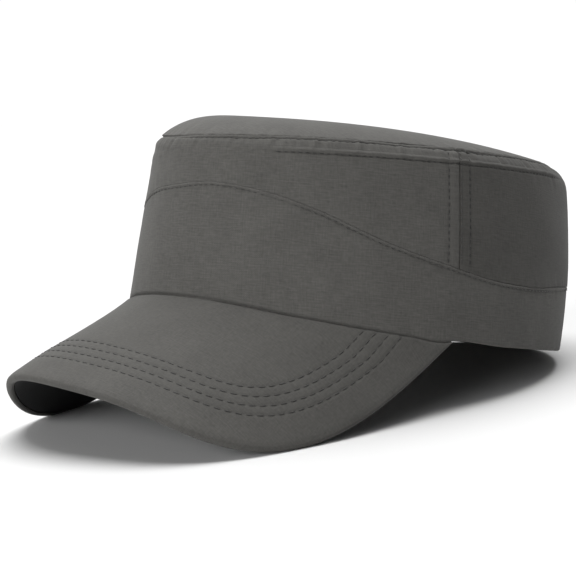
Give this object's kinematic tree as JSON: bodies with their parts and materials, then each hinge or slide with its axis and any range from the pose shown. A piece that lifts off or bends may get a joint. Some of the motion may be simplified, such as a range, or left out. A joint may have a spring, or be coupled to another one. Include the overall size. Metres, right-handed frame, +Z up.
{
  "type": "patrol cap",
  "caption": "Soft cloth cap with a low straight-sided crown, a domed flat top, a band below a curved seam and a bent stitched peak.",
  "frame": {"origin": "middle of the underside of the cap's box, on the surface that it stands on", "axes": "+Z up, the front of the cap towards -Y, the wearer's left towards +X"},
  "size_m": [0.1764, 0.274, 0.1215],
  "materials": {
    "crown_cloth": "matt plain weave",
    "peak_cloth": "matt plain weave",
    "under_cloth": "matt"
  },
  "bodies": {
    "root": {"crown_top": "crown_cloth", "front_panel": "crown_cloth", "back_panel": "crown_cloth", "band": "crown_cloth", "peak": "peak_cloth", "peak_under": "under_cloth"}
  },
  "joints": []
}
